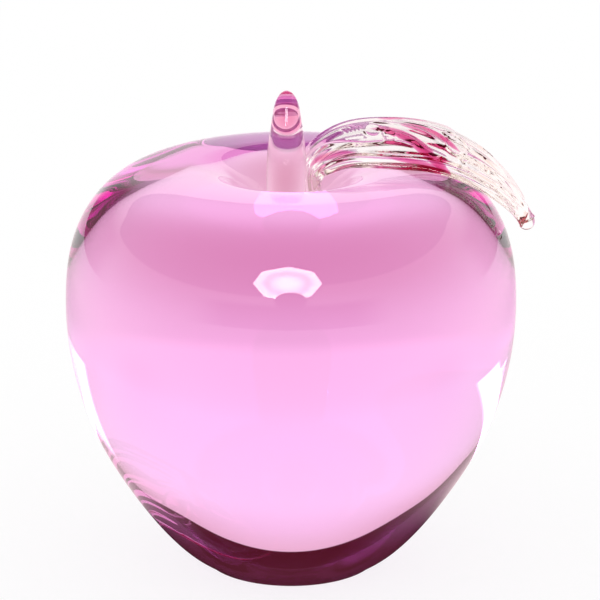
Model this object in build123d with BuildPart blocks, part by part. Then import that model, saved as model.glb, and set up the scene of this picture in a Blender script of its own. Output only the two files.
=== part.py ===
import os
from math import cos, radians, sin

from build123d import *

# Hand-worked glass apple that stands on a ground flat, in millimetres.
# The origin is the centre of that flat, +Z points up and the leaf hangs over the +X shoulder.

# Apple body
body_radius = 40.0
crest_height = 73.1
crest_radius = 17.7
base_radius = 15.5
base_bevel = 0.4
dimple_depth = 12.0

# Stem, a clear bit over a pink core
stem_offset = -0.75
stem_length = 25.3
stem_foot_radius = 4.1
stem_shaft_radius = 3.55
core_radius = 2.2
core_neck_radius = 1.7
core_bulb_radius = 2.0
core_tip_cover = 3.1
seat_margin = 0.2

# Leaf, a clear bit pressed with ribs and draped over the shoulder
leaf_width = 18.0
leaf_thickness = 2.7
leaf_root_width = 9.0
leaf_root_thickness = 2.4
leaf_tip_width = 2.9
leaf_tip_thickness = 2.3
leaf_camber_height = 1.1
leaf_drop = 10.2
leaf_root_tilt = 19.0
leaf_tip_tilt = 8.0
leaf_rim_depth = 0.9
rib_height = 0.45
rib_count = 5
tip_bead_radius = 1.65
stalk_rise = 8.0
stalk_foot_width = 5.0
stalk_foot_thickness = 2.2
stalk_sink = 3.0
stalk_press = 0.2

# Pink streaks inside the leaf
streak_thickness = 1.1
streak_end_width = 0.5
streak_end_thickness = 0.3

# Points of the body's outline, as shares of the way from base_radius to body_radius and of
# crest_height
flank_shares = (
    (0.1135, 0.027),
    (0.2571, 0.070),
    (0.4269, 0.138),
    (0.6016, 0.223),
    (0.7714, 0.324),
    (0.9069, 0.444),
    (0.9837, 0.571),
    (0.9967, 0.699),
    (0.9461, 0.814),
    (0.8090, 0.906),
    (0.6114, 0.966),
    (0.3584, 0.995),
)
# Points of the dimple's wall, as shares of its width from seat to crest and of its depth
dimple_shares = (
    (0.636, 0.068),
    (0.281, 0.325),
    (0.091, 0.725),
)
# Outline of the stem, as shares of its shaft radius and its length
stem_shares = (
    (1.030, 0.100),
    (1.000, 0.300),
    (0.965, 0.560),
    (0.850, 0.705),
    (0.690, 0.840),
    (0.480, 0.945),
)
# Places of the core's waist, neck and bulb, as shares of the core's height
core_waist_share = 0.55
core_neck_share = 0.80
# Path of the leaf beyond its root, as shares of the way from the stalk to body_radius, of
# body_radius, and of leaf_drop above the crest
leaf_path_shares = (
    (0.0094, 0.015, -0.072),
    (0.0947, 0.030, 0.220),
    (0.3573, 0.055, 0.345),
    (0.6399, 0.055, 0.210),
    (0.8482, 0.045, -0.205),
    (0.9778, 0.025, -0.660),
    (1.0443, 0.010, -0.996),
)
# Where the blade leaves the stalk, as a share of the leaf's path
blade_start_share = 0.20
# Width and thickness along the blade: share of the blade's path, of leaf_width and of leaf_thickness
blade_shares = (
    (0.12, 0.70, 1.08),
    (0.28, 0.90, 1.02),
    (0.46, 1.00, 0.98),
    (0.64, 0.94, 0.94),
    (0.80, 0.78, 0.92),
    (0.92, 0.48, 0.88),
)
# Thickness of the blade at its rims, as a share of its thickness in the middle
edge_thickness_share = 0.72
# Streaks: share of the blade's path at both ends, sideways share of the half width at both
# ends, and width as a share of leaf_width
streak_shares = {
    "leaf_streak_root": (0.06, 0.28, -0.35, 0.15, 0.110),
    "leaf_streak_main": (0.29, 0.62, 0.52, -0.42, 0.150),
    "leaf_streak_upper": (0.40, 0.66, 0.53, 0.40, 0.090),
    "leaf_streak_far": (0.30, 0.53, 0.80, 0.80, 0.060),
    "leaf_streak_near": (0.34, 0.64, -0.70, -0.66, 0.075),
}
# Swelling of a streak: share of its own length, share of its full width and thickness
swell_shares = (
    (0.12, 0.62),
    (0.38, 1.00),
    (0.68, 0.92),
    (0.90, 0.48),
)


# Values that follow from the sizes above
seat_height = crest_height - dimple_depth
seat_radius = stem_foot_radius + abs(stem_offset) + seat_margin
stem_tip = seat_height + stem_length
core_height = stem_length - core_tip_cover
stalk_offset = stem_offset + stem_shaft_radius + stalk_foot_thickness / 2 - stalk_press


def mix(start, end, share):
    return start + (end - start) * share


def body_point(radius_share, height_share):
    return (mix(base_radius, body_radius, radius_share), height_share * crest_height)


def dimple_point(width_share, depth_share):
    return (mix(seat_radius, crest_radius, width_share), crest_height - depth_share * dimple_depth)


def stem_point(radius_share, height_share):
    return (radius_share * stem_shaft_radius, seat_height + height_share * stem_length)


def core_point(radius, height_share):
    return (radius, seat_height + height_share * core_height)


def leaf_point(reach_share, side_share, rise_share):
    reach = mix(stalk_offset, body_radius, reach_share)
    return (reach, side_share * body_radius, crest_height + rise_share * leaf_drop)


# Apple body: a solid block of pink glass, turned about its axis, with a dimple that holds the stem
with BuildPart() as apple_body:
    with BuildSketch(Plane.XZ):
        with BuildLine():
            bevel_top = (base_radius + base_bevel, base_bevel)
            crest = (crest_radius, crest_height)
            seat_edge = (seat_radius, seat_height)
            flank = [body_point(*share) for share in flank_shares]
            wall = [dimple_point(*share) for share in dimple_shares]
            Line((0, 0), (base_radius, 0))
            Line((base_radius, 0), bevel_top)
            Spline(bevel_top, *flank, crest, tangents=((3, 2), (-1, 0)))
            Spline(crest, *wall, seat_edge, tangents=((-1, 0), (-1, -1)))
            Line(seat_edge, (0, seat_height))
            Line((0, seat_height), (0, 0))
        make_face()
    revolve(axis=Axis.Z)

stem_plane = Plane(origin=(stem_offset, 0, 0), x_dir=(1, 0, 0), z_dir=(0, -1, 0))
stem_axis = Axis((stem_offset, 0, 0), (0, 0, 1))
stem_foot = (stem_foot_radius, seat_height)
bulb_center_height = seat_height + core_height - core_bulb_radius

# Pink core of the stem: a rod whose end is rounded into a bulb
with BuildPart() as stem_core:
    with BuildSketch(stem_plane):
        with BuildLine():
            core_foot = (core_radius, seat_height)
            core_waist = core_point(core_radius, core_waist_share)
            core_neck = core_point(core_neck_radius, core_neck_share)
            bulb_side = (core_bulb_radius, bulb_center_height)
            core_top = (0, seat_height + core_height)
            Line((0, seat_height), core_foot)
            Line(core_foot, core_waist)
            Spline(core_waist, core_neck, bulb_side, tangents=((0, 1), (0, 1)))
            RadiusArc(bulb_side, core_top, -core_bulb_radius)
            Line(core_top, (0, seat_height))
        make_face()
    revolve(axis=stem_axis)

# Clear casing of the stem: a drawn finger with a flared foot, closed over the core
with BuildPart() as stem_casing:
    with BuildSketch(stem_plane):
        with BuildLine():
            tip = (0, stem_tip)
            Line((0, seat_height), stem_foot)
            side = [stem_point(*share) for share in stem_shares]
            Spline(stem_foot, *side, tip, tangents=((-1, 2), (-1, 0)))
            Line(tip, (0, seat_height))
        make_face()
    revolve(axis=stem_axis)
    add(stem_core.part, mode=Mode.SUBTRACT)

# Path of the leaf: up out of the dimple beside the stem, over the crest and down past the shoulder
with BuildLine() as leaf_line:
    foot = (stalk_offset, 0, seat_height - stalk_sink)
    root = (stalk_offset, 0, seat_height + stalk_rise)
    drape = [leaf_point(*share) for share in leaf_path_shares]
    Spline(foot, root, *drape)
leaf_path = leaf_line.edge()


def path_share(blade_share):
    return mix(blade_start_share, 1, blade_share)


def leaf_plane(share):
    heading = leaf_path % share
    lift = heading.cross(Vector(0, 1, 0)).normalized()
    side = lift.cross(heading)
    tilt = radians(mix(leaf_root_tilt, leaf_tip_tilt, share))
    across = side * cos(tilt) + lift * sin(tilt)
    return Plane(origin=leaf_path @ share, x_dir=across, z_dir=heading)


def camber_at(width, side_share):
    return leaf_camber_height * width / leaf_width * (1 - side_share**2)


def draw_leaf_section(width, thickness):
    # a slice with one arch for each rib above, a plain arch below and rounded rims;
    # the middle point of such an arch lies twice as far out as the arch reaches
    rim = leaf_rim_depth * width / leaf_width
    face_half = width / 2 - rim
    rise = 2 * rib_height * width / leaf_width
    valleys = []
    for index in range(rib_count + 1):
        side_share = 2 * index / rib_count - 1
        bulge = thickness / 2 * mix(1, edge_thickness_share, side_share**2)
        valleys.append((face_half * side_share, camber_at(width, side_share) + bulge))
    for left, right in zip(valleys, valleys[1:]):
        crown = ((left[0] + right[0]) / 2, (left[1] + right[1]) / 2 + rise)
        Bezier(left, crown, right)
    edge_drop = thickness * edge_thickness_share
    under_left = (-face_half, valleys[0][1] - edge_drop)
    under_right = (face_half, valleys[-1][1] - edge_drop)
    belly = 2 * camber_at(width, 0) - thickness / 2
    Bezier(valleys[0], (-width / 2 - rim, valleys[0][1] - edge_drop / 2), under_left)
    Bezier(under_left, (0, belly), under_right)
    Bezier(valleys[-1], (width / 2 + rim, valleys[-1][1] - edge_drop / 2), under_right)


def blade_size(blade_share):
    # width and thickness between the two nearest rows of the table
    rows = [(0, leaf_root_width / leaf_width, leaf_root_thickness / leaf_thickness), *blade_shares]
    rows.append((1, leaf_tip_width / leaf_width, leaf_tip_thickness / leaf_thickness))
    for low, high in zip(rows, rows[1:]):
        if blade_share <= high[0]:
            between = (blade_share - low[0]) / (high[0] - low[0])
            break
    return leaf_width * mix(low[1], high[1], between), leaf_thickness * mix(low[2], high[2], between)


# Pink streaks: flattened threads of coloured glass that lie inside the blade
streaks = {}
for name, (start, end, start_side, end_side, width_share) in streak_shares.items():
    with BuildPart() as streak:
        full_width = width_share * leaf_width
        swells = [(0, None), *swell_shares, (1, None)]
        for share, swell in swells:
            blade_share = mix(start, end, share)
            side_share = mix(start_side, end_side, share)
            blade_width = blade_size(blade_share)[0]
            if swell is None:
                size = (streak_end_width, streak_end_thickness)
            else:
                size = (full_width * swell, streak_thickness * swell)
            center = (side_share * blade_width / 2, camber_at(blade_width, side_share))
            with BuildSketch(leaf_plane(path_share(blade_share))):
                with BuildLine():
                    left = (center[0] - size[0] / 2, center[1])
                    right = (center[0] + size[0] / 2, center[1])
                    Bezier(left, (center[0], center[1] + size[1]), right)
                    Bezier(left, (center[0], center[1] - size[1]), right)
                make_face()
        loft()
    streak.part.label = name
    streaks[name] = streak.part

# Leaf blade: clear ribbed glass around the streaks, with a bead where it was pulled off
with BuildPart() as leaf_blade:
    for blade_share in (0, *[row[0] for row in blade_shares], 1):
        with BuildSketch(leaf_plane(path_share(blade_share))):
            with BuildLine():
                draw_leaf_section(*blade_size(blade_share))
            make_face()
    loft()
    with Locations(leaf_path @ 1):
        Sphere(tip_bead_radius)
    for neighbour in (apple_body, stem_core, stem_casing):
        add(neighbour.part, mode=Mode.SUBTRACT)
    for streak_part in streaks.values():
        add(streak_part, mode=Mode.SUBTRACT)

# Leaf stalk: the drawn-in end of the leaf, fused to the dimple's wall and the side of the stem
with BuildPart() as leaf_stalk:
    for share, width, thickness in (
        (0, stalk_foot_width, stalk_foot_thickness),
        (blade_start_share / 2, stalk_foot_width, stalk_foot_thickness),
        (blade_start_share, leaf_root_width, leaf_root_thickness),
    ):
        with BuildSketch(leaf_plane(share)):
            with BuildLine():
                draw_leaf_section(width, thickness)
            make_face()
    loft()
    for neighbour in (apple_body, stem_core, stem_casing):
        add(neighbour.part, mode=Mode.SUBTRACT)

apple_body.part.label = "apple_body"
stem_core.part.label = "stem_core"
stem_casing.part.label = "stem_casing"
leaf_blade.part.label = "leaf_blade"
leaf_stalk.part.label = "leaf_stalk"

os.makedirs("parts", exist_ok=True)
pieces = (apple_body.part, stem_core.part, stem_casing.part, leaf_blade.part, leaf_stalk.part)
for piece in (*pieces, *streaks.values()):
    export_step(piece, f"parts/{piece.label}.step")
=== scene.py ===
import bpy
import numpy as np
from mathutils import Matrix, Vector


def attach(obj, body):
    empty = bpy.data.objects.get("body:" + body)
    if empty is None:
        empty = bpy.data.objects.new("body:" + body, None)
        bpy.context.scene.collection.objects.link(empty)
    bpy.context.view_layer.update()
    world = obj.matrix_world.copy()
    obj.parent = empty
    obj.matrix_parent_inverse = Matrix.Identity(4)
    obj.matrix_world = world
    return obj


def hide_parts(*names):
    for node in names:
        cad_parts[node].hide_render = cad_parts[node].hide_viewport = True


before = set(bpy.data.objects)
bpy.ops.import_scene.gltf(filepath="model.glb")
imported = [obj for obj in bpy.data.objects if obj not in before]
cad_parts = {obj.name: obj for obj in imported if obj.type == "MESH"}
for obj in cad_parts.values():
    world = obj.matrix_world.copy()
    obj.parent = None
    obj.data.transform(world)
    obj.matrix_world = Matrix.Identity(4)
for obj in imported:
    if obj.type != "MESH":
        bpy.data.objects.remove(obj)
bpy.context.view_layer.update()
scene = bpy.context.scene
mm = 0.001  # sizes below are millimetres, Blender's are metres
print("frame loaded:", len(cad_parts), "nodes")


# tools for shapes

# Cubic spline C(t) with C, C' and C'' continuous, t = chord length from point to point.
# With a heading, C' at that end is the unit heading, without one C'' is 0 there.
# share is an array from 0 to 1 of the whole chord length.
def splineThrough(points, share, startHeading=None, endHeading=None):
    points = np.asarray(points, float)
    steps = np.linalg.norm(np.diff(points, axis=0), axis=1)
    knots = np.concatenate([[0], np.cumsum(steps)])
    count = len(points)
    system, right = np.zeros((count, count)), np.zeros_like(points)
    inner = np.arange(1, count - 1)
    slopes = np.diff(points, axis=0) / steps[:, None]
    system[inner, inner - 1] = steps[:-1]
    system[inner, inner] = 2 * (steps[:-1] + steps[1:])
    system[inner, inner + 1] = steps[1:]
    right[inner] = 6 * np.diff(slopes, axis=0)
    system[0, 0] = system[-1, -1] = 1
    if startHeading is not None:
        system[0, :2] = 2 * steps[0], steps[0]
        right[0] = 6 * (slopes[0] - np.array(startHeading) / np.linalg.norm(startHeading))
    if endHeading is not None:
        system[-1, -2:] = steps[-1], 2 * steps[-1]
        right[-1] = 6 * (np.array(endHeading) / np.linalg.norm(endHeading) - slopes[-1])
    bend = np.linalg.solve(system, right)
    t = np.asarray(share) * knots[-1]
    cell = np.clip(np.searchsorted(knots, t, side="right") - 1, 0, count - 2)
    h, low, high = steps[cell], t - knots[cell], knots[cell + 1] - t
    low, high, h = low[:, None], high[:, None], h[:, None]
    return (
        (high**3 * bend[cell] + low**3 * bend[cell + 1]) / (6 * h)
        + (points[cell] / h - bend[cell] * h / 6) * high
        + (points[cell + 1] / h - bend[cell + 1] * h / 6) * low
    )


# Value between the rows (place, value) of a table: a cubic from row to row, whose slope at a row
# is the harmonic mean of the slopes beside it, or 0 where their signs differ.
def smoothValue(table, at):
    rows = np.asarray(table, float)
    places, values = rows[:, 0], rows[:, 1]
    steps = np.diff(places)
    slopes = np.diff(values) / steps
    middle = np.where(
        slopes[:-1] * slopes[1:] > 0,
        2 * slopes[:-1] * slopes[1:] / np.where(slopes[:-1] + slopes[1:] == 0, 1, slopes[:-1] + slopes[1:]),
        0,
    )
    tangents = np.concatenate([[slopes[0]], middle, [slopes[-1]]])
    cell = np.clip(np.searchsorted(places, at, side="right") - 1, 0, len(steps) - 1)
    x = np.clip((at - places[cell]) / steps[cell], 0, 1)
    return (
        values[cell] * (1 + 2 * x) * (1 - x) ** 2
        + tangents[cell] * steps[cell] * x * (1 - x) ** 2
        + values[cell + 1] * x**2 * (3 - 2 * x)
        - tangents[cell + 1] * steps[cell] * x**2 * (1 - x)
    )


# Points and faces of a closed surface over rings (n, m, 3), one closed ring of m points after another,
# with a fan to the point start at the first ring and to the point end at the last. Rings are in
# millimetres, points come back in metres. Faces look outwards, and into the hollow of a hollow shell.
def shell(rings, start, end, hollow=False):
    n, m = rings.shape[:2]
    points = np.concatenate([rings.reshape(-1, 3), [start, end]]) * mm
    row, column = np.meshgrid(np.arange(n - 1), np.arange(m), indexing="ij")
    after = (column + 1) % m
    quads = np.stack(
        [row * m + column, row * m + after, (row + 1) * m + after, (row + 1) * m + column], axis=-1
    ).reshape(-1, 4)
    around = np.arange(m)
    first = np.stack([np.full(m, n * m), (around + 1) % m, around], axis=-1)
    last = np.stack([np.full(m, n * m + 1), (n - 1) * m + around, (n - 1) * m + (around + 1) % m], axis=-1)
    triangles = np.concatenate([first, last, quads[:, :3], quads[:, [0, 2, 3]]])
    a, b, c = (points[triangles[:, i]] for i in range(3))
    inward = np.einsum("ij,ij->i", a, np.cross(b, c)).sum() < 0  # six times the volume, with its sign
    if inward != hollow:
        quads, first, last = quads[:, ::-1], first[:, ::-1], last[:, ::-1]
    corners = np.concatenate([quads.ravel(), first.ravel(), last.ravel()])
    return points, corners, np.concatenate([np.full(len(quads), 4), np.full(2 * m, 3)])


# Smooth mesh from points in metres, the corners of all faces in a row, and each face's number of corners.
def putMesh(name, points, corners, sizes):
    mesh = bpy.data.meshes.new(name)
    mesh.vertices.add(len(points))
    mesh.vertices.foreach_set("co", points.astype(np.float32).ravel())
    mesh.loops.add(len(corners))
    mesh.loops.foreach_set("vertex_index", corners.astype(np.int32))
    mesh.polygons.add(len(sizes))
    mesh.polygons.foreach_set("loop_start", np.concatenate([[0], np.cumsum(sizes)[:-1]]).astype(np.int32))
    mesh.polygons.foreach_set("use_smooth", np.ones(len(sizes), bool))
    mesh.update(calc_edges=True)
    piece = bpy.data.objects.new(name, mesh)
    scene.collection.objects.link(piece)
    return piece


# Closed mesh over rings and two end points, all in millimetres.
def skin(name, rings, start, end):
    return putMesh(name, *shell(rings, start, end))


# Rings of an outline (radius, height), which starts and ends on the axis, turned about the vertical
# axis at x = offset: x = offset + radius cos(a), y = radius sin(a).
def turnedRings(outline, segments, offset=0.0):
    angle = np.linspace(0, 2 * np.pi, segments, endpoint=False)
    radius, height = outline[:, :1], np.repeat(outline[:, 1:], segments, axis=1)
    return np.stack([offset + radius * np.cos(angle), radius * np.sin(angle), height], axis=-1)


# Turned rings between the two poles, and the poles.
def withPoles(rings):
    return rings[1:-1], rings[0, 0], rings[-1, 0]


# Flat face of a turned outline, from the axis out to the radius at one height.
def flatFace(radius, height, shares=(0.0, 0.5, 1.0)):
    return np.array([(share * radius, height) for share in shares])


# Points center + radius (cos a, sin a) of a circle's arc.
def arc(center, radius, fromDegrees, toDegrees, count):
    angle = np.radians(np.linspace(fromDegrees, toDegrees, count))
    return np.stack([center[0] + radius * np.cos(angle), center[1] + radius * np.sin(angle)], axis=-1)


# Gives a piece its material and its body, and hides the nodes that it stands for.
def finish(piece, material, slot, *nodes):
    piece.data.materials.append(material)
    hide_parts(*nodes)
    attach(piece, "root")
    return piece


# tools for materials

# Linear colour of an sRGB hex text.
def linearColour(hexText):
    value = np.array([int(hexText[i:i + 2], 16) for i in (1, 3, 5)]) / 255
    return tuple(np.where(value <= 0.04045, value / 12.92, ((value + 0.055) / 1.055) ** 2.4)) + (1.0,)


# Adds one node, sets its properties and input values, and links its inputs.
def addNode(tree, kind, settings=None, links=None):
    node = tree.nodes.new(kind)
    for key, value in (settings or {}).items():
        if isinstance(key, int) or key in node.inputs:
            node.inputs[key].default_value = value
        else:
            setattr(node, key, value)
    for key, source in (links or {}).items():
        tree.links.new(source, node.inputs[key])
    return node


# New material with an empty tree of nodes.
def emptyMaterial(name):
    material = bpy.data.materials.new(name)
    material.use_nodes = True
    material.node_tree.nodes.clear()
    return material, material.node_tree


# Clear or coloured glass with a fire polished skin. What is left of white light after depth
# millimetres is throughHex, so absorption per metre is -ln(colour) / depth.
def glassMaterial(name, ior, throughHex, depth):
    material, tree = emptyMaterial(name)
    through = np.clip(np.array(linearColour(throughHex)[:3]), 0.001, 0.999)
    loss = -np.log(through) / (depth * mm)
    density = float(loss.max())
    glass = addNode(
        tree, "ShaderNodeBsdfPrincipled",
        {"Base Color": (1, 1, 1, 1), "Transmission Weight": 1.0, "IOR": ior, "Roughness": 0.0},
    )
    tint = addNode(
        tree, "ShaderNodeVolumeAbsorption", {"Color": (*(1 - loss / density), 1), "Density": density}
    )
    addNode(tree, "ShaderNodeOutputMaterial", None, {"Surface": glass.outputs[0], "Volume": tint.outputs[0]})
    return material


# Ground glass: a matt face, as grit leaves it.
def groundMaterial(name, hexText):
    material, tree = emptyMaterial(name)
    settings = {"Base Color": linearColour(hexText), "Roughness": 1.0}
    ground = addNode(tree, "ShaderNodeBsdfPrincipled", settings)
    addNode(tree, "ShaderNodeOutputMaterial", None, {"Surface": ground.outputs[0]})
    return material


# apple body

body = {
    "radius": 40.0,
    "crestHeight": 73.1,
    "crestRadius": 17.7,
    "baseRadius": 15.5,
    "baseBevel": 0.4,
    "baseHeading": (3, 2),  # way of the outline out of the bevel
    "baseRings": (0.0, 0.5, 0.98, 1.0),  # shares of its radius where the flat base has a ring
    "foot": (0.10, 0.14),  # heights of the ground foot's two faces
    "footSegments": 96,
    "dimpleDepth": 12.0,
    "seatRadius": 5.05,
    "seatHeading": (-1, -1),
    "seatRings": (0.96, 0.5, 0.0),
    # shares of radius and of crestHeight, from the base up
    "flankShares": (
        (0.457, 0.027), (0.545, 0.070), (0.649, 0.138), (0.756, 0.223), (0.860, 0.324), (0.943, 0.444),
        (0.990, 0.571), (0.998, 0.699), (0.967, 0.814), (0.883, 0.906), (0.762, 0.966), (0.607, 0.995),
    ),
    # shares of the way out from the seat to the crest, and of dimpleDepth below the crest
    "wallShares": ((0.636, 0.068), (0.281, 0.325), (0.091, 0.725)),
    "segments": 288,
    "pointsUp": 220,
    "pointsIn": 60,
}


# Turned outline: flat base, small bevel, flank spline up to the crest, dimple spline, flat seat.
def makeBody():
    b = body
    seatHeight = b["crestHeight"] - b["dimpleDepth"]
    bevelTop = (b["baseRadius"] + b["baseBevel"], b["baseBevel"])
    crest = (b["crestRadius"], b["crestHeight"])
    flank = [(r * b["radius"], z * b["crestHeight"]) for r, z in b["flankShares"]]
    wall = [
        (b["seatRadius"] + r * (b["crestRadius"] - b["seatRadius"]), b["crestHeight"] - z * b["dimpleDepth"])
        for r, z in b["wallShares"]
    ]
    upward = np.linspace(0, 1, b["pointsUp"])
    inward = np.linspace(0, 1, b["pointsIn"])[1:]
    up = splineThrough([bevelTop, *flank, crest], upward, b["baseHeading"], (-1, 0))
    inside = splineThrough([crest, *wall, (b["seatRadius"], seatHeight)], inward, (-1, 0), b["seatHeading"])
    base = flatFace(b["baseRadius"], 0, b["baseRings"])
    seat = flatFace(b["seatRadius"], seatHeight, b["seatRings"])
    rings = turnedRings(np.concatenate([base, up, inside, seat]), b["segments"])
    return skin("apple_block", *withPoles(rings))


# Thin disc just inside the flat base: the ground foot that the block rests on.
def makeFoot():
    low, high = body["foot"]
    radius = body["baseRadius"] - body["baseBevel"]
    outline = np.concatenate([flatFace(radius, low), flatFace(radius, high)[::-1]])
    return skin("apple_foot", *withPoles(turnedRings(outline, body["footSegments"])))


# crystal of index 1.5 with a little colour in all of it: pale pink, deeper where the block is thick
pinkCrystal = glassMaterial("tinted crystal, blocked and fire polished", 1.5, "#fbbcf6", 80.0)
# the foot ground flat with fine grit: soft white under the clear block
groundFoot = groundMaterial("ground foot over white paper", "#fbfafa")
finish(makeBody(), pinkCrystal, "pink_glass", "apple_body")
finish(makeFoot(), groundFoot, "pink_glass")
print("body made")


# stem

stem = {
    "offset": -0.75,
    "foot": 61.1,
    "length": 25.3,
    "footRadius": 4.9,  # with the fillet that the two glasses melt into
    "footHeading": (-3, 1),
    "shaftRadius": 3.55,
    # shares of shaftRadius and of length, from the foot up
    "sideShares": (
        (1.030, 0.100), (1.000, 0.300), (0.965, 0.560), (0.850, 0.705), (0.690, 0.840), (0.480, 0.945),
    ),
    "sunk": 0.08,  # so far the foot is melted into the seat
    "coreRadius": 2.2,
    "coreNeck": 1.7,
    "coreBulb": 2.0,
    "coreCover": 3.1,  # clear glass over the rod's end
    "waistShare": 0.55,  # heights where the rod starts to narrow and where it is narrowest
    "neckShare": 0.80,
    # the last pull left the end deeper than wide and leaning back: height, depth as a share of the
    # width, and shift to the back
    "pull": (
        (60.0, 1.0, 0.0), (74.0, 1.01, 0.0), (77.4, 1.06, 0.04), (79.0, 1.18, 0.30), (81.0, 1.33, 0.77),
        (83.0, 1.43, 1.32), (85.0, 1.43, 1.60), (86.4, 1.35, 1.75),
    ),
    # colour at the end of the rod: height of the middle, and half width and half height of the gathered
    # pink, of the bead's skin, of the clear gap in the skin and of the seed in the gap
    "gatherHeight": 81.5,
    "gather": (2.15, 4.0),
    "beadHeight": 81.3,
    "skin": (1.78, 2.45),
    "gap": (1.45, 2.05),
    "gapShift": (-0.10, 0.0, 0.14),
    "seed": (1.15, 1.62),
    "segments": 144,
    "sidePoints": 180,
    "coreSegments": 72,
    "eggSegments": 64,
    "eggPoints": 49,
}


# Turned rings as the pull left them: y = depth share * y + shift, both by height.
def bent(rings):
    pull = np.array(stem["pull"])
    height = np.clip(rings[..., 2], pull[0, 0], pull[-1, 0])
    rings[..., 1] = rings[..., 1] * smoothValue(pull[:, :2], height) + smoothValue(pull[:, ::2], height)
    return rings


# Turned outline of the clear casing: sunk foot, fillet, spline up the side, rounded tip.
def makeStem():
    s = stem
    side = [(r * s["shaftRadius"], s["foot"] + z * s["length"]) for r, z in s["sideShares"]]
    points = [(s["footRadius"], s["foot"]), *side, (0, s["foot"] + s["length"])]
    up = splineThrough(points, np.linspace(0, 1, s["sidePoints"]), s["footHeading"], (-1, 0))
    outline = np.concatenate([flatFace(s["footRadius"], s["foot"] - s["sunk"]), up])
    return skin("stem_clear", *withPoles(bent(turnedRings(outline, s["segments"], s["offset"]))))


# Turned outline of the pink rod: straight, drawn in to a neck, then a round bulb.
def makeCore():
    s = stem
    height = s["length"] - s["coreCover"]
    middle = s["foot"] + height - s["coreBulb"]
    waist = (s["coreRadius"], s["foot"] + s["waistShare"] * height)
    narrowest = (s["coreNeck"], s["foot"] + s["neckShare"] * height)
    neck = splineThrough([waist, narrowest, (s["coreBulb"], middle)], np.linspace(0, 1, 30), (0, 1), (0, 1))
    bulb = arc((0, middle), s["coreBulb"], 0, 90, 24)[1:]
    outline = np.concatenate([flatFace(s["coreRadius"], s["foot"] + s["sunk"]), neck, bulb])
    return skin("stem_colour", *withPoles(bent(turnedRings(outline, s["coreSegments"], s["offset"]))))


# Ellipsoid in the end of the rod: radius = half width cos(b), height = middle + half height sin(b).
def eggRings(height, halfWidth, halfHeight, shift=(0, 0, 0)):
    b = np.radians(np.linspace(-90, 90, stem["eggPoints"]))
    outline = np.stack([halfWidth * np.cos(b), height + halfHeight * np.sin(b)], axis=-1)
    rings = bent(turnedRings(outline, stem["eggSegments"], stem["offset"]))
    return withPoles(rings + np.array(shift))


# Skin of strong pink round a clear gap: two shells in one mesh, the inner one faces the gap.
def makeBead():
    s = stem
    outer = shell(*eggRings(s["beadHeight"], *s["skin"]))
    inner = shell(*eggRings(s["beadHeight"], *s["gap"], s["gapShift"]), hollow=True)
    points, corners, sizes = zip(outer, inner)
    corners = (corners[0], corners[1] + len(points[0]))
    return putMesh("stem_bead", np.concatenate(points), np.concatenate(corners), np.concatenate(sizes))


def makeGather():
    return skin("stem_gather", *eggRings(stem["gatherHeight"], *stem["gather"]))


def makeSeed():
    return skin("stem_seed", *eggRings(stem["beadHeight"], *stem["seed"], stem["gapShift"]))


# crystal drawn out hot: a clear finger with sharp glints. 1.45, a little under crystal's index, keeps
# its edges as pale as they are on the object
clearCrystal = glassMaterial("clear crystal, drawn and fire polished", 1.45, "#fffcf8", 8.0)
# the colours have melted into the clear glass round them, so light goes straight from one to the other:
# index 1 against that glass, and 1.02 where a faint edge shows
thinPink = glassMaterial("pink colour rod, drawn thin", 1.0, "#fffafd", 4.4)
pinkGather = glassMaterial("pink colour, gathered at the end of the rod", 1.0, "#fee4f3", 4.2)
skinPink = glassMaterial("strong pink skin round a gap", 1.02, "#f8d8e8", 1.2)
seedPink = glassMaterial("strong pink seed in a gap", 1.02, "#f8d6e6", 2.3)
finish(makeStem(), clearCrystal, "clear_glass", "stem_casing")
finish(makeCore(), thinPink, "stem_colour", "stem_core")
finish(makeGather(), pinkGather, "stem_colour")
finish(makeBead(), skinPink, "stem_colour")
finish(makeSeed(), seedPink, "stem_colour")
print("stem made")


# leaf

leaf = {
    "width": 18.0,
    "offset": 3.7,
    "foot": 58.1,
    "root": 69.1,
    "drop": 10.2,
    # the path past the root: shares of the way out to the apple's radius, of that radius to the back,
    # and of the drop above the crest
    "pathShares": (
        (0.0094, 0.015, -0.072), (0.0947, 0.030, 0.220), (0.3573, 0.055, 0.345), (0.6399, 0.055, 0.210),
        (0.8482, 0.045, -0.205), (0.9778, 0.025, -0.660), (1.0443, 0.010, -0.996),
    ),
    "camber": 1.1,  # how far the middle bows up at the full width
    "rootTilt": 19.0,  # degrees that the face leans at the root and at the tip
    "tipTilt": 8.0,
    "beadRadius": 1.5,
    # widths and thicknesses at shares of the whole path
    "widths": (
        (0.00, 4.8), (0.10, 4.8), (0.17, 6.6), (0.24, 10.4), (0.32, 13.6), (0.424, 16.4), (0.55, 18.0),
        (0.66, 17.9), (0.76, 16.8), (0.85, 14.2), (0.92, 10.8), (0.965, 7.0), (0.985, 4.8), (1.0, 3.1),
    ),
    "depths": (
        (0.00, 2.0), (0.10, 2.0), (0.20, 2.3), (0.30, 2.5), (0.424, 2.5), (0.568, 2.4), (0.712, 2.2),
        (0.84, 2.1), (0.936, 2.0), (0.985, 2.6), (1.0, 3.2),
    ),
    # where along the path the blade is, with its relief and thinner edges
    "blade": ((0, 0), (0.14, 0), (0.26, 1), (0.94, 1), (0.985, 0), (1, 0)),
    "edgeThinning": 0.35,
    "topPower": 0.55,  # the lower, the fuller the upper and the under side
    "underPower": 0.6,
    # ribs of the press on the under side: height, what the near edge has more and from where, how many
    # lie side by side, and how far and how often they sway along the leaf
    "underRibs": (0.05, 0.11, 0.4, 5, 0.8, 9),
    "teeth": (5, 0.374, 0.0105),  # marks of the pincers' teeth: count, first place and step
    "creases": (22, 0.70, 0.25),  # creases of the pull: count, first place and reach
    "stations": 430,
    "around": 200,
    "beadRings": 14,
}


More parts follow.
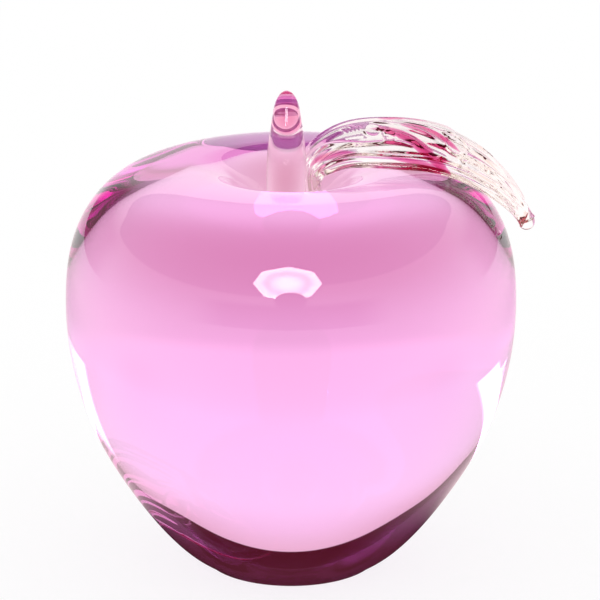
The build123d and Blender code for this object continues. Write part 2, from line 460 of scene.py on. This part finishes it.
# Points of the leaf's path with its heading, the direction across the leaf and the one up from it.
def leafFrame(share):
    path = [(leaf["offset"], 0, leaf["foot"]), (leaf["offset"], 0, leaf["root"])]
    for reach, side, rise in leaf["pathShares"]:
        x = leaf["offset"] + reach * (body["radius"] - leaf["offset"])
        path.append((x, side * body["radius"], body["crestHeight"] + rise * leaf["drop"]))
    points = splineThrough(path, share)
    step = 1e-4
    ahead = splineThrough(path, np.clip(share + step, 0, 1))
    behind = splineThrough(path, np.clip(share - step, 0, 1))
    heading = ahead - behind
    heading /= np.linalg.norm(heading, axis=1)[:, None]
    lift = np.cross(heading, (0, 1, 0))
    lift /= np.linalg.norm(lift, axis=1)[:, None]
    side = np.cross(lift, heading)
    tilt = np.radians(leaf["rootTilt"] + (leaf["tipTilt"] - leaf["rootTilt"]) * share)[:, None]
    across = side * np.cos(tilt) + lift * np.sin(tilt)
    return points, heading, across, np.cross(heading, across)


# Ridges that the pincers and the pull left in the leaf's upper face: height and half width in
# millimetres, and the line's points as share of the path and place across, -1 near and 1 far.
ridges = [
    (0.55, 1.10, ((0.27, 0.86), (0.40, 0.90), (0.55, 0.90), (0.66, 0.86))),
    (0.30, 0.60, ((0.55, 0.72), (0.68, 0.66), (0.80, 0.60), (0.94, 0.50))),
    (0.30, 0.42, ((0.25, -0.95), (0.45, -0.97), (0.65, -0.96), (0.85, -0.93), (0.98, -0.6))),
    (0.26, 0.40, ((0.23, -0.78), (0.36, -0.83), (0.55, -0.86), (0.72, -0.82), (0.90, -0.72), (0.99, -0.3))),
    (0.18, 0.40, ((0.26, -0.62), (0.38, -0.70), (0.50, -0.74), (0.64, -0.72), (0.80, -0.62), (0.93, -0.45))),
    (0.30, 0.60, ((0.24, 0.10), (0.30, -0.05), (0.36, -0.30), (0.43, -0.42), (0.50, -0.36), (0.56, -0.45))),
    (0.26, 0.55, ((0.45, 0.30), (0.50, 0.02), (0.56, -0.22), (0.61, -0.50), (0.66, -0.62))),
    (0.34, 0.75, ((0.46, 0.52), (0.53, 0.36), (0.59, 0.12), (0.65, -0.22))),
    (0.24, 0.60, ((0.50, 0.66), (0.58, 0.52), (0.66, 0.26))),
    (-0.30, 0.75, ((0.28, 0.62), (0.35, 0.68), (0.42, 0.70), (0.50, 0.76))),
    (0.22, 0.55, ((0.29, 0.40), (0.34, 0.46), (0.39, 0.42))),
    (0.22, 0.60, ((0.72, -0.30), (0.78, -0.22), (0.86, -0.16), (0.95, -0.05))),
    (0.20, 0.50, ((0.74, 0.20), (0.81, 0.14), (0.88, 0.18), (0.96, 0.22))),
    (0.18, 0.45, ((0.70, 0.44), (0.76, 0.40), (0.83, 0.42))),
    (-0.22, 0.55, ((0.73, -0.05), (0.79, -0.02), (0.84, 0.02))),
]
count, first, step = leaf["teeth"]
for number in range(count):  # marks of the pincers' teeth, one beside the other
    at = first + step * number
    ridges.append((0.13, 0.26, ((at - 0.004, 0.34), (at + 0.003, 0.10), (at - 0.002, -0.14))))
count, first, reach = leaf["creases"]
for number in range(count):  # creases where the cooling end was pulled, spread by steps that never meet
    along = first + reach * ((number * 0.618) % 1)
    across = -0.62 + 1.3 * ((number * 0.382 + 0.17) % 1)
    slant = 0.5 * (((number * 0.755) % 1) - 0.5)
    ridges.append((0.09 + 0.05 * (number % 3), 0.32, ((along, across), (along + 0.04, across + slant))))
# Rings round dents: height, half width, middle as share and place across, and radii along and across
rims = (
    (0.22, 0.34, 0.447, 0.10, 1.25, 2.2),
    (0.26, 0.40, 0.690, -0.02, 1.9, 3.4),
    (0.18, 0.32, 0.672, 0.34, 1.2, 1.6),
    (0.18, 0.34, 0.493, -0.16, 1.1, 1.7),
)


# Points along the spline through a ridge's points.
def smoothLine(points, count):
    return splineThrough(points, np.linspace(0, 1, count)) if len(points) > 2 else np.array(points, float)


# Sum over the ridges of height * exp(-(d / reach)^2), d = distance from the ridge's line in
# millimetres along and across the leaf, and over the rims with d = distance from an ellipse. The dent
# inside a rim is half as deep as the rim is high. share and side are arrays of one shape.
def leafRelief(share, side, half, length):
    alongAt, acrossAt = share * length, side * half
    total = np.zeros_like(alongAt)
    for height, reach, route in ridges:
        line = smoothLine(np.array(route), 4 * len(route))
        spread = smoothValue(leaf["widths"], line[:, 0]) / 2
        line = np.stack([line[:, 0] * length, line[:, 1] * spread], axis=-1)
        nearest = np.full_like(alongAt, 1e9)
        for start, end in zip(line[:-1], line[1:]):
            step = end - start
            part = ((alongAt - start[0]) * step[0] + (acrossAt - start[1]) * step[1]) / (step @ step)
            part = np.clip(part, 0, 1)
            gap = (alongAt - start[0] - part * step[0]) ** 2 + (acrossAt - start[1] - part * step[1]) ** 2
            nearest = np.minimum(nearest, gap)
        total += height * np.exp(-nearest / reach**2)
    for height, reach, middle, place, radiusAlong, radiusAcross in rims:
        x = (alongAt - middle * length) / radiusAlong
        y = (acrossAt - place * half) / radiusAcross
        gap = (np.sqrt(x**2 + y**2) - 1) * np.sqrt(radiusAlong * radiusAcross)
        total += height * np.exp(-((gap / reach) ** 2)) - 0.5 * height * np.exp(-((x**2 + y**2) * 1.2))
    return total


# Length of the leaf's path in millimetres.
def leafLength():
    points = leafFrame(np.linspace(0, 1, 400))[0]
    return np.linalg.norm(np.diff(points, axis=0), axis=1).sum()


# Rings round the path. At q = cos(a) across, the surface lies half width * q sideways, and up from the
# path by camber (1 - q^2), + (half depth * thinning + relief) sin(a)^0.55 on the upper side, and
# - (half depth * thinning + ribs) (-sin(a))^0.6 on the under side. A half sphere closes the end.
def makeLeaf():
    f = leaf
    share = np.linspace(0, 1, f["stations"])
    points, heading, across, up = leafFrame(share)
    width = smoothValue(f["widths"], share)[:, None]
    depth = smoothValue(f["depths"], share)[:, None]
    blade = smoothValue(f["blade"], share)[:, None]
    angle = np.linspace(0, 2 * np.pi, f["around"], endpoint=False)[None]
    q, s = np.cos(angle), np.sin(angle)
    top = np.clip(s, 0, 1) ** f["topPower"]
    bottom = np.clip(-s, 0, 1) ** f["underPower"]
    camber = f["camber"] * width / f["width"] * (1 - q**2)
    relief = leafRelief(share[:, None] + 0 * q, q + 0 * width, width / 2, leafLength()) * blade
    height, more, start, count, sway, often = f["underRibs"]
    ribs = height + more * np.clip(-start - q, 0, 1) / (1 - start)
    ribs = ribs * np.cos(count * np.pi * q + sway * np.sin(often * share[:, None])) * blade
    half = depth / 2 * (1 - f["edgeThinning"] * q**2 * blade)
    rise = camber + (half + relief) * top - (half + ribs) * bottom
    rings = points[:, None] + across[:, None] * (width / 2 * q)[..., None] + up[:, None] * rise[..., None]
    turn = np.radians(np.linspace(0, 90, f["beadRings"])[1:-1])[:, None]
    middle = points[-1] + heading[-1] * f["beadRadius"] * np.sin(turn)
    circle = across[-1] * np.cos(angle.T) + up[-1] * np.sin(angle.T)
    bead = middle[:, None] + f["beadRadius"] * np.cos(turn)[..., None] * circle[None]
    tip = points[-1] + heading[-1] * f["beadRadius"]
    return skin("leaf_clear", np.concatenate([rings, bead]), points[0], tip)


# crystal ribbed in a press and pulled: clear, with bright and dark lines along every rib. 1.34, well
# under crystal's index, stands for a skin that is smoother than the relief here, and keeps it light
leafCrystal = glassMaterial("clear crystal, pressed and pulled", 1.34, "#fffdf5", 8.0)
finish(makeLeaf(), leafCrystal, "clear_glass", "leaf_blade", "leaf_stalk")

# Threads of colour: share of the path, place across, width and thickness in millimetres
streaks = {
    "leaf_streak_root": (
        (0.25, -0.10, 0.8, 0.4), (0.29, -0.30, 2.4, 0.5), (0.34, -0.48, 2.8, 0.45), (0.39, -0.58, 0.8, 0.3),
    ),
    "leaf_streak_main": (
        (0.44, 0.34, 0.8, 0.4), (0.475, 0.28, 2.6, 0.8), (0.53, 0.06, 3.8, 1.0), (0.585, -0.30, 4.4, 1.1),
        (0.64, -0.68, 3.4, 1.1), (0.70, -0.94, 1.0, 0.5),
    ),
    "leaf_streak_upper": (
        (0.52, 0.56, 0.8, 0.4), (0.57, 0.46, 2.2, 0.9), (0.62, 0.28, 3.0, 1.2), (0.67, 0.06, 2.4, 1.0),
        (0.71, -0.14, 0.8, 0.4),
    ),
    "leaf_streak_far": (
        (0.47, 0.93, 0.5, 0.3), (0.51, 0.93, 1.0, 0.6), (0.56, 0.92, 1.0, 0.6), (0.61, 0.90, 0.5, 0.3),
    ),
    "leaf_streak_near": (
        (0.46, -0.66, 0.6, 0.3), (0.53, -0.74, 1.2, 0.7), (0.60, -0.82, 1.4, 0.9), (0.66, -0.88, 1.2, 0.8),
        (0.70, -0.92, 0.6, 0.4),
    ),
}
streakRings = 70
streakSegments = 36
roughLeaf = (60, 8)  # length and half width of the leaf, which turn a streak's table to millimetres


# Flat rings round a line inside the leaf: sideways half width cos(a), up half thickness sin(a). Both
# follow the table, and close at the ends as (1 - (2 x - 1)^6)^0.5.
def makeStreak(name, stations):
    f = leaf
    table = np.array(stations)
    x = np.linspace(0, 1, streakRings)
    share, sideways = (splineThrough(table[:, :2] * roughLeaf, x) / roughLeaf).T
    order = np.linspace(0, 1, len(table))
    close = np.sqrt(np.clip(1 - (2 * x - 1) ** 6, 1e-4, 1))
    wide = smoothValue(np.stack([order, table[:, 2]], axis=-1), x) / 2 * close
    high = smoothValue(np.stack([order, table[:, 3]], axis=-1), x) / 2 * close
    points, heading, across, up = leafFrame(share)
    width = smoothValue(f["widths"], share)
    center = points + across * (sideways * width / 2)[:, None]
    center += up * (f["camber"] * width / f["width"] * (1 - sideways**2))[:, None]
    angle = np.linspace(0, 2 * np.pi, streakSegments, endpoint=False)
    rings = (
        center[:, None]
        + across[:, None] * (wide[:, None] * np.cos(angle))[..., None]
        + up[:, None] * (high[:, None] * np.sin(angle))[..., None]
    )
    return skin(name.replace("leaf_", "colour_"), rings, center[0], center[-1])


# colour drawn to threads inside the clear glass: strong pink, paler where a thread is thin, with no
# edge of its own, so the index is 1 against the glass round it
streakPink = glassMaterial("pink colour thread", 1.0, "#ec7fb4", 1.0)
for nodeName, stations in streaks.items():
    finish(makeStreak(nodeName, stations), streakPink, "streak_colour", nodeName)
print("leaf made")


# tools for light, used in the floor, the studio and the lamp

# Product of factors. Each is a socket, or (socket, low, high, start, end): a smooth step from start
# at low to end at high.
def factor(tree, *factors):
    result = None
    for item in factors:
        if isinstance(item, tuple):
            value, low, high, start, end = item
            step = {"From Min": low, "From Max": high, "To Min": start, "To Max": end}
            step["interpolation_type"] = "SMOOTHSTEP"
            item = addNode(tree, "ShaderNodeMapRange", step, {"Value": value}).outputs[0]
        if result is not None:
            both = {0: result, 1: item}
            item = addNode(tree, "ShaderNodeMath", {"operation": "MULTIPLY"}, both).outputs[0]
        result = item
    return result


# Colour under layers (kind, share, colour), each laid over those before it by its share. A colour is
# a socket or three light levels.
def layered(tree, colour, *layers):
    for kind, share, over in layers:
        settings, links = {"data_type": "RGBA", "blend_type": kind}, {0: share}
        for key, value in ((6, colour), (7, over)):
            if isinstance(value, tuple):
                settings[key] = (*value, 1)
            else:
                links[key] = value
        colour = addNode(tree, "ShaderNodeMix", settings, links).outputs[2]
    return colour


# 1 for light that comes through glass or off it, 0 for all other light.
def byGlass(tree, path):
    links = {0: path["Is Glossy Ray"], 1: path["Is Transmission Ray"]}
    return addNode(tree, "ShaderNodeMath", {"operation": "MAXIMUM"}, links).outputs[0]


# floor

floorSet = {
    "radius": 3000.0,
    "corners": 96,
    "below": 0.03,
    "paper": "#f3f3f3",
    "glow": 0.8,  # share of the white that the paper gives off by itself, the rest is lit
    "white": (1.11, 1.05, 1.08),
    # painted soft shades behind the apple, which only the glass shows: center, spread and what is left of
    # the light
    "wideShade": ((0, 0), (400, 330), (0.97, 0.87, 0.85)),
    "shade": ((0, 98), (46, 50), (0.85, 0.69, 0.74)),
    "focus": ((0, 48), (21, 19), (0.22, 0.34, 0.29)),  # painted light, as the apple would gather it, added
    # painted shade under the apple, which only mirrored light has: radius where it is full, radius where it
    # ends, what is left
    "contact": (26, 43, (0.03, 0.01, 0.015)),
    # painted shades left and right: center, spread, what is left, and whether only mirrored light has it
    "sides": (
        ((115, 38), (48, 34), (0.72, 0.68, 0.66), False),
        ((115, -35), (48, 34), (0.30, 0.30, 0.16), False),
        ((125, 140), (60, 80), (0.72, 0.68, 0.72), True),
    ),
    # painted half shadow behind: where its far edge starts and ends, center, spread, what is left
    "band": (172, 193, (0, 100), (80, 500), (0.88, 0.83, 0.86)),
    "front": (-60, -20, (0.68, 0.66, 0.54)),  # painted shade, dimmer towards the camera, as light through the glass shows it
}


# exp(-((x - cx) / sx)^2 - ((y - cy) / sy)^2) of a place on the floor.
def spot(tree, place, center, spread):
    shift = {"operation": "SUBTRACT", 1: (center[0] * mm, center[1] * mm, 0)}
    shrink = {"operation": "MULTIPLY", 1: (1 / (spread[0] * mm), 1 / (spread[1] * mm), 0)}
    away = addNode(tree, "ShaderNodeVectorMath", shift, {0: place}).outputs[0]
    away = addNode(tree, "ShaderNodeVectorMath", shrink, {0: away}).outputs[0]
    square = addNode(tree, "ShaderNodeVectorMath", {"operation": "DOT_PRODUCT"}, {0: away, 1: away})
    minus = addNode(
        tree, "ShaderNodeMath", {"operation": "MULTIPLY", 1: -1.0}, {0: square.outputs["Value"]}
    )
    return addNode(tree, "ShaderNodeMath", {"operation": "EXPONENT"}, {0: minus.outputs[0]}).outputs[0]


# Colour of the paper as the glass shows it: white with painted shades and a painted pool of light where the
# studio's lamps and the apple would cast them.
def paperInGlass(tree, path, place):
    f = floorSet
    ahead = addNode(tree, "ShaderNodeSeparateXYZ", None, {0: place}).outputs["Y"]
    fromMiddle = addNode(tree, "ShaderNodeVectorMath", {"operation": "LENGTH"}, {0: place}).outputs["Value"]
    through = path["Is Transmission Ray"]
    mirrored = (through, 0, 1, 1, 0)
    bandFrom, bandTo, bandCenter, bandSpread, bandLeft = f["band"]
    frontFrom, frontTo, frontLeft = f["front"]
    full, free, contactLeft = f["contact"]
    band = factor(tree, (ahead, bandFrom * mm, bandTo * mm, 1, 0), spot(tree, place, bandCenter, bandSpread))
    front = factor(tree, (ahead, frontFrom * mm, frontTo * mm, 1, 0), through)
    contact = factor(tree, (fromMiddle, full * mm, free * mm, 1, 0), mirrored)
    # painted shades and a painted pool of light, laid one over the other on the white
    layers = [
        ("MULTIPLY", spot(tree, place, *f["wideShade"][:2]), f["wideShade"][2]),
        ("MULTIPLY", band, bandLeft),
        ("MULTIPLY", front, frontLeft),
        ("MULTIPLY", spot(tree, place, *f["shade"][:2]), f["shade"][2]),
        ("ADD", spot(tree, place, *f["focus"][:2]), f["focus"][2]),
        ("MULTIPLY", contact, contactLeft),
    ]
    for (x, y), spread, left, mirrorOnly in f["sides"]:
        for side in (-1, 1):
            share = spot(tree, place, (side * x, y), spread)
            layers.append(("MULTIPLY", factor(tree, share, mirrored) if mirrorOnly else share, left))
    return layered(tree, f["white"], *layers)


# A flat disc under the apple. The eye sees plain white paper with the apple's own soft shadow.
def makeFloor():
    f = floorSet
    angle = np.linspace(0, 2 * np.pi, f["corners"], endpoint=False)
    rim = np.stack([np.cos(angle), np.sin(angle), 0 * angle], axis=-1) * f["radius"] * mm
    rim[:, 2] = -f["below"] * mm
    floor = putMesh("floor", rim, np.arange(f["corners"]), np.array([f["corners"]]))
    material, tree = emptyMaterial("white paper sweep")
    path = addNode(tree, "ShaderNodeLightPath").outputs
    place = addNode(tree, "ShaderNodeTexCoord").outputs["Object"]
    # Rays through or off the glass see the paper give off the painted shades and painted pool of light as
    # its own light; the eye sees white paper, partly lit, with a real soft shadow.
    shades = paperInGlass(tree, path, place)
    behind = addNode(tree, "ShaderNodeEmission", {"Strength": 1.0}, {"Color": shades})
    paper = addNode(tree, "ShaderNodeBsdfDiffuse", {"Color": linearColour(f["paper"])})
    indirectly = {0: byGlass(tree, path), 1: paper.outputs[0], 2: behind.outputs[0]}
    indirect = addNode(tree, "ShaderNodeMixShader", None, indirectly)
    lit = addNode(tree, "ShaderNodeBsdfDiffuse", {"Color": (1 - f["glow"],) * 3 + (1,)})
    glow = addNode(tree, "ShaderNodeEmission", {"Strength": f["glow"]})
    direct = addNode(tree, "ShaderNodeAddShader", None, {0: lit.outputs[0], 1: glow.outputs[0]})
    byEye = {0: path["Is Camera Ray"], 1: indirect.outputs[0], 2: direct.outputs[0]}
    seen = addNode(tree, "ShaderNodeMixShader", None, byEye)
    addNode(tree, "ShaderNodeOutputMaterial", None, {"Surface": seen.outputs[0]})
    floor.data.materials.append(material)


makeFloor()
print("floor made")


# studio, drawn by direction in the world: azimuth from +Y towards +X and elevation, in degrees

studio = {
    "white": (1.11, 1.05, 1.08),
    "warm": (0.93, 0.80, 0.76),  # what is left of the white under the backdrop's top edge
    "warmFrom": (14, 30),
    "edge": 29.0,  # the backdrop's top edge ahead, and how it rises to the right and falls to the left
    "edgeRise": (30, 58, 0.0, 5.0),
    "edgeFall": (42, 60, 0.0, -5.0),
    "edgeSoft": 0.35,
    "farCeiling": (0.085, 0.010, 0.018),
    "nearCeiling": (0.17, 0.12, 0.11),
    "ceilingTurn": (45, 100),
    "topCeiling": (0.105, 0.035, 0.03),
    "topFrom": (44, 56),
    # pale wall on the left, which only light that turned so many times in the glass meets
    "leftWall": (0.85, 0.85, 0.85),
    "leftWallTurn": (20, 32),
    "leftWallDepth": (4, 5, 5, 6),
    "deepShade": (0.52, 0.42, 0.36),  # painted shade: what is left of light that turned very often
    "deepShadeDepth": (7, 9),
    "nearFloor": (0.09, 0.04, 0.04),  # what is left of the white low down on the camera's side
    "nearFloorTurn": (125, 150),
    "nearFloorRise": (14, 20),
    # bright panels, azimuth and elevation where each starts, is full, starts to fade and ends. The
    # right one leans, and is measured by -(azimuth + elevation)
    "leftPanel": (56.0, 59.0, 112, 128, -3.0, 1.0, 19, 25),
    "rightPanel": (44.5, 47.0, 58.5, 61.0, -2.5, 1.0, 24, 28),
    "panelGain": 1.6,
    "flank": (0.45, 0.20, 0.27),  # dark curtains left and right, which the skin mirrors
    "flankTurn": (14, 24, 55, 75),
    "flankRise": (18, 28),
}


# White backdrop up to its top edge, dark room above, two bright panels at the sides. Light that no
# glass has bent, and light that a matt face has scattered, meets plain white.
def makeWorld():
    w = studio
    world = bpy.data.worlds.new("studio")
    scene.world = world
    world.use_nodes = True
    tree = world.node_tree
    tree.nodes.clear()
    path = addNode(tree, "ShaderNodeLightPath").outputs
    place = addNode(tree, "ShaderNodeTexCoord").outputs["Generated"]
    way = addNode(tree, "ShaderNodeSeparateXYZ", None, {0: place}).outputs
    degrees = {"operation": "MULTIPLY", 1: 180 / np.pi}
    opposite = {"operation": "MULTIPLY", 1: -1.0}
    rise = addNode(tree, "ShaderNodeMath", {"operation": "ARCSINE"}, {0: way["Z"]}).outputs[0]
    turn = addNode(tree, "ShaderNodeMath", {"operation": "ARCTAN2"}, {0: way["X"], 1: way["Y"]}).outputs[0]
    elevation = addNode(tree, "ShaderNodeMath", degrees, {0: rise}).outputs[0]
    azimuth = addNode(tree, "ShaderNodeMath", degrees, {0: turn}).outputs[0]
    sideways = addNode(tree, "ShaderNodeMath", {"operation": "ABSOLUTE"}, {0: azimuth}).outputs[0]
    toLeft = addNode(tree, "ShaderNodeMath", opposite, {0: azimuth}).outputs[0]
    leaning = addNode(tree, "ShaderNodeMath", {"operation": "ADD"}, {0: azimuth, 1: elevation}).outputs[0]
    fromRight = addNode(tree, "ShaderNodeMath", opposite, {0: leaning}).outputs[0]

    over = elevation
    for value, change in ((azimuth, w["edgeRise"]), (toLeft, w["edgeFall"])):
        shift = factor(tree, (value, *change))
        over = addNode(tree, "ShaderNodeMath", {"operation": "SUBTRACT"}, {0: over, 1: shift}).outputs[0]
    above = factor(tree, (over, w["edge"] - w["edgeSoft"], w["edge"] + w["edgeSoft"], 0, 1))
    low = factor(tree, (sideways, *w["nearFloorTurn"], 0, 1), (elevation, *w["nearFloorRise"], 1, 0))
    start, full, fade, end = w["flankTurn"]
    flank = factor(
        tree, (path["Is Transmission Ray"], 0, 1, 1, 0), (sideways, start, full, 0, 1),
        (sideways, fade, end, 1, 0), (elevation, *w["flankRise"], 1, 0),
    )
    layers = [
        ("MULTIPLY", factor(tree, (elevation, *w["warmFrom"], 0, 1)), w["warm"]),
        ("MULTIPLY", low, w["nearFloor"]),
        ("MULTIPLY", flank, w["flank"]),
    ]
    panelLight = tuple(w["panelGain"] * level for level in w["white"])
    for value, panel in ((azimuth, w["leftPanel"]), (fromRight, w["rightPanel"])):
        start, full, fade, end, bottom, fullFrom, fullTo, top = panel
        share = factor(
            tree, (value, start, full, 0, 1), (value, fade, end, 1, 0), (elevation, bottom, fullFrom, 0, 1),
            (elevation, fullTo, top, 1, 0), path["Is Transmission Ray"],
        )
        layers.append(("ADD", share, panelLight))
    white = layered(tree, w["white"], *layers)

    depth = path["Ray Depth"]
    start, full, fade, end = w["leftWallDepth"]
    often = factor(
        tree, (toLeft, *w["leftWallTurn"], 0, 1), (depth, start, full, 0, 1), (depth, fade, end, 1, 0)
    )
    ceiling = layered(
        tree, w["farCeiling"],
        ("MIX", factor(tree, (sideways, *w["ceilingTurn"], 0, 1)), w["nearCeiling"]),
        ("MIX", factor(tree, (elevation, *w["topFrom"], 0, 1)), w["topCeiling"]),
        ("MIX", often, w["leftWall"]),
    )
    # painted shade on light that turned very often in the glass
    deepShade = factor(tree, (depth, *w["deepShadeDepth"], 0, 1))
    room = layered(tree, white, ("MIX", above, ceiling), ("MULTIPLY", deepShade, w["deepShade"]))
    bentOnly = factor(tree, byGlass(tree, path), (path["Diffuse Depth"], 0, 1, 1, 0))
    chosen = layered(tree, (1.0, 1.0, 1.0), ("MIX", bentOnly, room))
    background = addNode(tree, "ShaderNodeBackground", None, {"Color": chosen})
    addNode(tree, "ShaderNodeOutputWorld", None, {"Surface": background.outputs[0]})


makeWorld()
print("studio made")


# lamp behind the camera: an octagonal softbox, whose image the camera partly covers

lamp = {
    "azimuth": -178.2,
    "elevation": 36.6,
    "away": 1100.0,
    "radius": 315.0,
    "corners": 8,
    "center": (0.0, 0.0, 45.0),
    "colour": "#fffdff",
    # brightness of the cloth at shares of the radius: bulb, shade of its holder, lit border
    "levels": ((0.0, 17.0), (0.30, 15.5), (0.58, 9.5), (0.70, 9.8), (0.77, 14.0), (1.0, 15.0)),
    "gain": 5.0,  # on light that has gone through the glass
    "depth": 3.0,  # so many turns of light see the lamp, fainter ghosts are left out
    "coverAzimuth": 180.0,
    "coverElevation": 21.0,
    "coverAway": 750.0,
    "coverRadius": 99.0,
    "coverCorners": 48,
    "coverColour": "#3f3139",
}


# Flat polygon that faces the apple from a direction, in rings at shares of its radius round its middle:
# middle + share * radius * (cos(a) side + sin(a) up). The levels of the rings go into "glow".
def disc(name, azimuth, elevation, away, radius, corners, material, levels=((0.0, 1.0), (1.0, 1.0))):
    turn, rise = np.radians(azimuth), np.radians(elevation)
    toward = np.array([np.sin(turn) * np.cos(rise), np.cos(turn) * np.cos(rise), np.sin(rise)])
    side = np.cross(toward, (0, 0, 1))
    side /= np.linalg.norm(side)
    up = np.cross(side, toward)
    middle = np.array(lamp["center"]) + toward * away
    shares, values = np.array(levels[1:]).T
    angle = np.linspace(0, 2 * np.pi, corners, endpoint=False)[:, None]
    rims = middle + shares[:, None, None] * radius * (np.cos(angle) * side + np.sin(angle) * up)
    around = np.arange(corners) + 1
    ahead = np.roll(around, -1)
    fan = np.stack([around, ahead, 0 * around], axis=-1)
    low = np.arange(len(rims) - 1)[:, None] * corners
    high = low + corners
    quads = np.stack([high + around, high + ahead, low + ahead, low + around], axis=-1).reshape(-1, 4)
    points = np.concatenate([[middle], rims.reshape(-1, 3)]) * mm
    sizes = np.concatenate([np.full(len(fan), 3), np.full(len(quads), 4)])
    shape = putMesh(name, points, np.concatenate([fan.ravel(), quads.ravel()]), sizes)
    glow = shape.data.attributes.new("glow", "FLOAT", "POINT")
    glow.data.foreach_set("value", np.append(levels[0][1], np.repeat(values, corners)).astype(np.float32))
    shape.data.materials.append(material)
    shape.visible_camera = False
    shape.visible_diffuse = False
    shape.visible_shadow = False


# Softbox cloth, brightest where the bulb is behind it, and the dark front of the camera.
def makeLamp():
    a = lamp
    cloth, tree = emptyMaterial("softbox cloth")
    glow = addNode(tree, "ShaderNodeAttribute", {"attribute_name": "glow"}).outputs["Fac"]
    path = addNode(tree, "ShaderNodeLightPath").outputs
    depth = path["Ray Depth"]
    strength = factor(
        tree, glow, (depth, 1, 2, 1, a["gain"]), (depth, a["depth"], a["depth"] + 1, 1, 0),
        (path["Diffuse Depth"], 0, 1, 1, 0),
    )
    light = addNode(tree, "ShaderNodeEmission", {"Color": linearColour(a["colour"])}, {"Strength": strength})
    addNode(tree, "ShaderNodeOutputMaterial", None, {"Surface": light.outputs[0]})
    disc("softbox", a["azimuth"], a["elevation"], a["away"], a["radius"], a["corners"], cloth, a["levels"])
    cover, tree = emptyMaterial("black camera front")
    black = addNode(tree, "ShaderNodeEmission", {"Color": linearColour(a["coverColour"]), "Strength": 1.0})
    addNode(tree, "ShaderNodeOutputMaterial", None, {"Surface": black.outputs[0]})
    disc(
        "camera_front", a["coverAzimuth"], a["coverElevation"], a["coverAway"], a["coverRadius"],
        a["coverCorners"], cover,
    )


makeLamp()
print("lamp made")


# camera and render settings

view = {
    "target": (1.6, 0.0, 48.45),
    "elevation": 17.87,  # degrees above the floor
    "distance": 700.0,
    "across": 106.67,  # millimetres across the frame at the target
    "sensor": 36.0,
    "clipStart": 10.0,
    "bounces": 24,  # light crosses many faces in the nested glass, and each counts as one
    "glossyBounces": 16,
}


# Camera straight in front of the apple, looking down at the target.
def makeCamera():
    camera = bpy.data.cameras.new("camera")
    holder = bpy.data.objects.new("camera", camera)
    scene.collection.objects.link(holder)
    scene.camera = holder
    slope = np.radians(view["elevation"])
    forward = Vector((0, np.cos(slope), -np.sin(slope)))
    holder.location = (Vector(view["target"]) - forward * view["distance"]) * mm
    holder.rotation_mode = "QUATERNION"
    holder.rotation_quaternion = forward.to_track_quat("-Z", "Y")
    camera.sensor_width = view["sensor"]
    camera.lens = view["sensor"] * view["distance"] / view["across"]
    camera.clip_start = view["clipStart"] * mm


makeCamera()
scene.view_settings.view_transform = "Standard"
scene.cycles.max_bounces = view["bounces"]
scene.cycles.transmission_bounces = view["bounces"]
scene.cycles.glossy_bounces = view["glossyBounces"]
scene.cycles.transparent_max_bounces = view["bounces"]
print("camera set")
